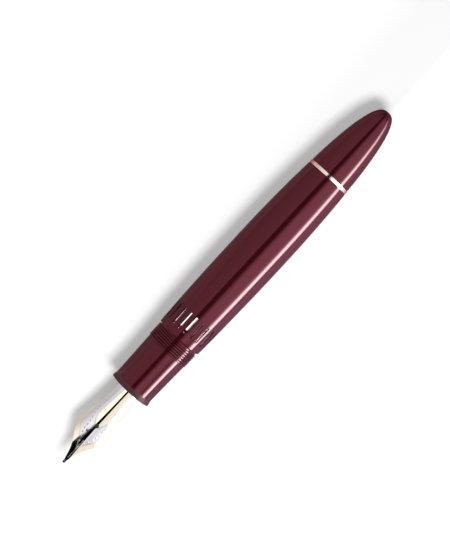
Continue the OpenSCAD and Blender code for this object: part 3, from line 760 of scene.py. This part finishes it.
def lozenge_guide():
    """Points along the silver band of each tine, with the sheet's own directions."""
    places, aims, runs, shares = [], [], [], []
    u = LOZENGE_FROM
    while u < NIB_BLADE - LOZENGE_CLEAR_OF_POINT:
        bend, slope = nib_bend(u), nib_slope(u)
        inner = max(field_width(u), FIELD_LEAST)
        outer = bend * math.asin(nib_width(u) / bend) - BORDER_SHARE * border_width(u)
        room = outer - inner
        if room <= BAND_LEAST:
            u += BAND_SEARCH
            continue
        for side in (-1, 1):
            turn = side * (inner + outer) / 2 / bend
            places.append(on_nib(u, turn, lift=-LOZENGE_SINK))
            aims.append(Vector((-slope, math.sin(turn), math.cos(turn))).normalized())
            runs.append(Vector((-1.0, side * field_drift(u) * 0.5, -slope)).normalized())
            shares.append(min(1.0, room / BAND_FULL))
        u += LOZENGE_PITCH
    mesh = bpy.data.meshes.new("lozenge_guide")
    mesh.from_pydata(places, [], [])
    for name, kind, key, values in (("aim", "FLOAT_VECTOR", "vector", aims),
                                    ("run", "FLOAT_VECTOR", "vector", runs),
                                    ("share", "FLOAT", "value", shares)):
        values = np.array(values, float).ravel()
        mesh.attributes.new(name, kind, "POINT").data.foreach_set(key, values)
    return mesh


def writing_point():
    """Polished ball at the tip of the nib, flat where it meets the gold."""
    b = bmesh.new()
    bmesh.ops.create_uvsphere(b, u_segments=64, v_segments=40, radius=PELLET_R * MM)
    centre = NIB_REACH - PELLET_R
    back = (centre - NIB_BLADE - HAIRLINE) * MM
    height = AXIS_Z + nib_top(NIB_BLADE) - NIB_T / 2
    for v in b.verts:
        v.co = Vector((min(v.co.x, back) - (centre + MID) * MM, v.co.y, v.co.z + height * MM))
    mesh = bpy.data.meshes.new("writing_point")
    close_outward(b, mesh, BALL_WELD)
    mesh.materials.append(HARD_METAL)
    return mesh


nib = nib_mesh()
nib.materials.append(nib_finish())
piece("nib_sheet", nib, "pen_body", ["nib"], sharp=50)

piece("writing_point", writing_point(), "pen_body", ["nib_pellet"])

lozenges = grow("nib_lozenges", lozenge_tree(), lozenge_guide(), size=LOZENGE_SIZE * MM,
                stretch=LOZENGE_STRETCH, rise=LOZENGE_RISE * MM, material=ENGRAVED)
piece("nib_lozenges", lozenges, "pen_body", sharp=5)

# ---- CAD pieces that keep their own solids ------------------------------

for names, finish in (
    (("nib_collar", "feed", "rod_guide", "seal_retainer"), BLACK),
    (("collar_seal", "section_gasket", "housing_seal", "friction_ring"), RUBBER),
    (("filler_housing", "knob_insert"), BRASS),
    (("spindle", "spindle_pin"), STEEL),
    (("piston_rod", "piston_seal"), WHITE),
):
    for name in names:
        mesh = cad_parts[name].data
        mesh.materials.clear()
        mesh.materials.append(finish)

# ---- Floor, light and camera --------------------------------------------

class Shading:
    """A cleared node tree of a material or a world, built node by node."""

    def __init__(self, owner):
        owner.use_nodes = True
        self.tree = owner.node_tree
        self.tree.nodes.clear()

    def add(self, kind, links=None, **settings):
        return wire(self.tree, kind, links, settings)

    def math(self, operation, a, b):
        return self.add("ShaderNodeMath", {0: a, 1: b}, operation=operation).outputs[0]

    def span(self, value, start, stop, low, high):
        """A value stretched from start..stop to low..high, and held there."""
        return self.add("ShaderNodeMapRange", {0: value, 1: start, 2: stop, 3: low, 4: high}).outputs[0]

    def mix(self, share, a, b):
        return self.add("ShaderNodeMix", {0: share, 2: a, 3: b}).outputs[0]

    def either(self, share, a, b):
        """A share of shader b in shader a."""
        return self.add("ShaderNodeMixShader", {0: share, 1: a.outputs[0], 2: b.outputs[0]})

    def vector(self, x, y, z):
        return self.add("ShaderNodeCombineXYZ", {"X": x, "Y": y, "Z": z}).outputs[0]

    def show(self, shader, kind):
        out = self.add(kind)
        self.tree.links.new(shader.outputs[0], out.inputs["Surface"])


# Past this zone the floor's painted reflection glow turns white under the nib.
NIB_ZONE = (-39.5, -38.5)  # in mm along the pen, where the floor turns white under the nib
# Red tints of the floor's painted reflection glow, on the near and the far side of the pen.
NEAR_PAINTED_GLOW_TINT, FAR_PAINTED_GLOW_TINT = (1.0, 0.60, 0.74), (1.0, 0.56, 0.66)


def floor_finish():
    """Pale floor with the pen's shadow and painted light beside it; reflections see a painted glow that
    darkens towards the pen, white under the nib.
    """
    material = bpy.data.materials.new("pale_floor")
    s = Shading(material)

    def over_mm(value, start, stop, low, high):
        return s.span(value, start * MM, stop * MM, low, high)

    ray = s.add("ShaderNodeLightPath").outputs
    surface = s.add("ShaderNodeNewGeometry").outputs
    x, y = s.add("ShaderNodeSeparateXYZ", {0: surface["Position"]}).outputs[:2]
    steep = s.add("ShaderNodeSeparateXYZ", {0: surface["Incoming"]}).outputs["Z"]
    far_side = s.math("GREATER_THAN", y, 0.0)
    by_nib = over_mm(x, *NIB_ZONE, 1.0, 0.0)
    # painted reflection: for reflected rays the floor glows, darker beside the pen, brighter away from it and
    # white under the nib
    beside = s.mix(far_side, over_mm(y, -46, -9, 1.95, 0.34), over_mm(y, 9, 46, 0.2, 0.75))
    painted_reflection_glow = s.mix(by_nib, beside, s.mix(far_side, 1.15, 0.6))
    # the painted reflection glow is tinted red beside the pen and left white under the nib
    painted_glow_tint = [s.mix(by_nib, s.mix(far_side, near, far), 1.0) for near, far in zip(NEAR_PAINTED_GLOW_TINT, FAR_PAINTED_GLOW_TINT)]
    # painted glow seen in the window's slots: the floor glows white straight below and dark at a slant
    painted_through_glow = s.span(steep, 0.90, 0.97, 0.1, 2.0)
    painted_glow_tint = [s.mix(ray["Is Transmission Ray"], share, 1.0) for share in painted_glow_tint]
    # this emission is the painted glow that reflections and the window's slots see; the floor is no lamp
    seen = s.add("ShaderNodeEmission", {
        "Color": s.vector(*painted_glow_tint), "Strength": s.mix(ray["Is Transmission Ray"], painted_reflection_glow, painted_through_glow)})
    # what the camera sees: white, with painted light that lifts the floor on the near side to hide the shade
    # beside the pen, and lifts it again far behind the pen, where the shadow softens
    painted_floor_lift = s.math("ADD", over_mm(y, -6, 0, 1.7, 1.06), over_mm(y, 14, 45, 0.0, 0.3))
    albedo = s.mix(ray["Is Camera Ray"], 0.8, painted_floor_lift)
    matt = s.add("ShaderNodeBsdfDiffuse", {"Color": s.vector(albedo, albedo, albedo)})
    indirect = s.math("MAXIMUM", ray["Is Glossy Ray"], ray["Is Transmission Ray"])
    # the floor is open to a camera below it
    from_below = s.math("MULTIPLY", ray["Is Camera Ray"], surface["Backfacing"])
    s.show(s.either(from_below, s.either(indirect, matt, seen), s.add("ShaderNodeBsdfTransparent")),
           "ShaderNodeOutputMaterial")
    material.cycles.emission_sampling = "NONE"
    return material


DESK_HALF = 3  # in metres
DESK_DROP = 0.02  # in mm

desk_mesh = bpy.data.meshes.new("desk")
desk_mesh.from_pydata([(-DESK_HALF, -DESK_HALF, 0), (DESK_HALF, -DESK_HALF, 0), (DESK_HALF, DESK_HALF, 0),
                       (-DESK_HALF, DESK_HALF, 0)], [], [(0, 1, 2, 3)])
desk_mesh.materials.append(floor_finish())
desk = bpy.data.objects.new("desk", desk_mesh)
desk.location.z = -DESK_DROP * MM
bpy.context.scene.collection.objects.link(desk)


# The studio's glow round the pen: degrees from overhead, negative on the near side, and brightness.
GLOW = [(-90, 5), (-86, 24), (-80, 40), (-76, 36), (-73, 20), (-69, 8), (-64, 3.2), (-58, 2.15),
        (-26, 2.15), (-17, 1.3), (-7.5, 0.0), (8, 0.0), (10.5, 0.95), (45, 0.8), (90, 0.46)]
BRIGHTEST = 40.0
STRIP_COLOUR, STRIP_LEAST, STRIP_TOP = (0.58, 1.0, 0.87), 5, -63
GAP_SOFTNESS = 0.02

# How far ahead of overhead, in degrees, the nib's shank, shoulders and tines look.
SHANK_LOOKS, SHOULDERS_LOOK, TINES_LOOK, POINT_LOOKS = 12, 21.3, 21.9, 26


def sky():
    """Two long soft panels with a dark gap overhead, and a bright strip low on the near side."""
    world = bpy.data.worlds.new("studio")
    bpy.context.scene.world = world
    s = Shading(world)

    def over_degrees(value, start, stop, low, high):
        return s.span(value, math.radians(start), math.radians(stop), low, high)

    def product(*values):
        total = values[0]
        for value in values[1:]:
            total = s.math("MULTIPLY", total, value)
        return total

    way = s.add("ShaderNodeTexCoord").outputs["Generated"]
    x, y, z = s.add("ShaderNodeSeparateXYZ", {0: way}).outputs
    lean = s.math("ARCTAN2", y, z)
    ahead = s.math("ARCTAN2", s.math("MULTIPLY", x, -1.0), z)
    near_side = s.math("LESS_THAN", lean, 0.0)

    ramp = s.add("ShaderNodeValToRGB", {0: over_degrees(lean, -90, 90, 0.0, 1.0)})
    stops = ramp.color_ramp.elements
    while len(stops) < len(GLOW):
        stops.new(0.5)
    for stop, (degrees, level) in zip(stops, GLOW):
        cool = STRIP_COLOUR if level > STRIP_LEAST else (1, 1, 1)
        stop.position = (degrees + 90) / 180
        stop.color = tuple(level / BRIGHTEST * c for c in cool) + (1,)

    # ahead of the nib the gap widens on the far side in three steps
    by_shank = s.math("MULTIPLY", over_degrees(ahead, SHANK_LOOKS, 14, 0.0, math.radians(4)),
                      s.math("LESS_THAN", ahead, math.radians(SHOULDERS_LOOK)))
    gap_edge = s.math("ADD", over_degrees(ahead, SHOULDERS_LOOK, 21.5, math.radians(8), math.radians(18)),
                      over_degrees(ahead, TINES_LOOK, 22.6, 0.0, math.radians(11)))
    gap_edge = s.math("ADD", gap_edge, by_shank)
    open_sky = s.span(lean, gap_edge, s.math("ADD", gap_edge, GAP_SOFTNESS), 0.0, 1.0)

    # the strip fades towards both ends of the pen, and the near panel is dimmer over the nib
    strip = product(s.span(x, 0.0, 0.5, 0.9, 0.5), s.span(x, 0.5, 0.8, 1.0, 0.1),
                    s.span(x, -0.34, -0.22, 0.03, 1.0))
    near = s.mix(s.math("LESS_THAN", lean, math.radians(STRIP_TOP)), over_degrees(ahead, 10, 15, 1.0, 0.43),
                 strip)
    far = s.math("MULTIPLY", open_sky, over_degrees(ahead, 10, 15, 1.0, 1.3))
    side = s.mix(near_side, far, near)

    # a flat panel that the nib's near half mirrors
    panel_edge = over_degrees(ahead, 22.6, 22.8, math.radians(-5), math.radians(-7))
    over_nib = product(over_degrees(ahead, SHANK_LOOKS, 15, 0.0, 0.89),
                       over_degrees(ahead, POINT_LOOKS, 30, 1.0, 0.0), s.math("LESS_THAN", lean, panel_edge))

    # the panels end some way past the pen's ends
    within = product(s.span(x, -0.62, -0.42, 0.12, 1.0), s.span(x, 0.7, 0.95, 1.0, 0.2),
                     s.mix(near_side, 1.0, s.span(x, 0.15, 0.45, 1.0, 0.8)))
    lit_panel = s.add("ShaderNodeVectorMath", {0: ramp.outputs[0], "Scale": product(side, within, BRIGHTEST)},
                      operation="SCALE").outputs[0]
    panels = s.add("ShaderNodeVectorMath", {0: lit_panel, 1: s.vector(over_nib, over_nib, over_nib)},
                   operation="MAXIMUM").outputs[0]

    ray = s.add("ShaderNodeLightPath").outputs
    glossy = s.add("ShaderNodeBackground", {"Color": panels, "Strength": 1.0})
    soft = s.add("ShaderNodeBackground", {
        "Color": (1, 1, 1, 1), "Strength": over_degrees(lean, -10, 10, 0.08, 0.80)})
    white = s.add("ShaderNodeBackground", {
        "Color": (1, 1, 1, 1), "Strength": s.mix(ray["Is Transmission Ray"], 1.0, 0.15)})
    seen_directly = s.math("MAXIMUM", ray["Is Camera Ray"], ray["Is Transmission Ray"])
    s.show(s.either(ray["Is Glossy Ray"], s.either(seen_directly, soft, white), glossy),
           "ShaderNodeOutputWorld")


sky()

# The lamp's and the camera's distances are in metres, and the view's centre is in mm.

KEY_LIFT, KEY_DISTANCE, KEY_AHEAD = math.radians(67.3), 0.62, 0.16
KEY_LENGTH, KEY_WIDTH, KEY_ENERGY = 0.22, 0.175, 2.3

key_data = bpy.data.lights.new("key_softbox", "AREA")
key_data.shape = "RECTANGLE"
key_data.size, key_data.size_y = KEY_LENGTH, KEY_WIDTH
key_data.energy = KEY_ENERGY
key = bpy.data.objects.new("key_softbox", key_data)
key.location = Vector((-KEY_AHEAD, -math.cos(KEY_LIFT), math.sin(KEY_LIFT))) * KEY_DISTANCE
key.rotation_euler = (-key.location).to_track_quat("-Z", "Y").to_euler()
key.visible_glossy = False
key.visible_transmission = False
key.visible_camera = False
bpy.context.scene.collection.objects.link(key)

VIEW_CENTRE = Vector((1.84, 1.63, AXIS_Z)) * MM
VIEW_DISTANCE, VIEW_LENS, VIEW_SENSOR = 0.51, 118, 36
VIEW_TILT = math.radians(2.5)
VIEW_ROLL = math.radians(47.13)

camera_data = bpy.data.cameras.new("camera")
camera_data.lens = VIEW_LENS
camera_data.sensor_width = VIEW_SENSOR
camera_data.clip_start, camera_data.clip_end = 0.01, 10
camera = bpy.data.objects.new("camera", camera_data)
bpy.context.scene.collection.objects.link(camera)
back = Vector((math.sin(VIEW_TILT), 0, math.cos(VIEW_TILT)))
up = Vector((math.sin(VIEW_ROLL), math.cos(VIEW_ROLL), 0))
up = (up - back * up.dot(back)).normalized()
turn = Matrix((up.cross(back), up, back)).transposed()
camera.matrix_world = Matrix.Translation(VIEW_CENTRE + back * VIEW_DISTANCE) @ turn.to_4x4()
bpy.context.scene.camera = camera
bpy.context.scene.view_settings.view_transform = "Standard"
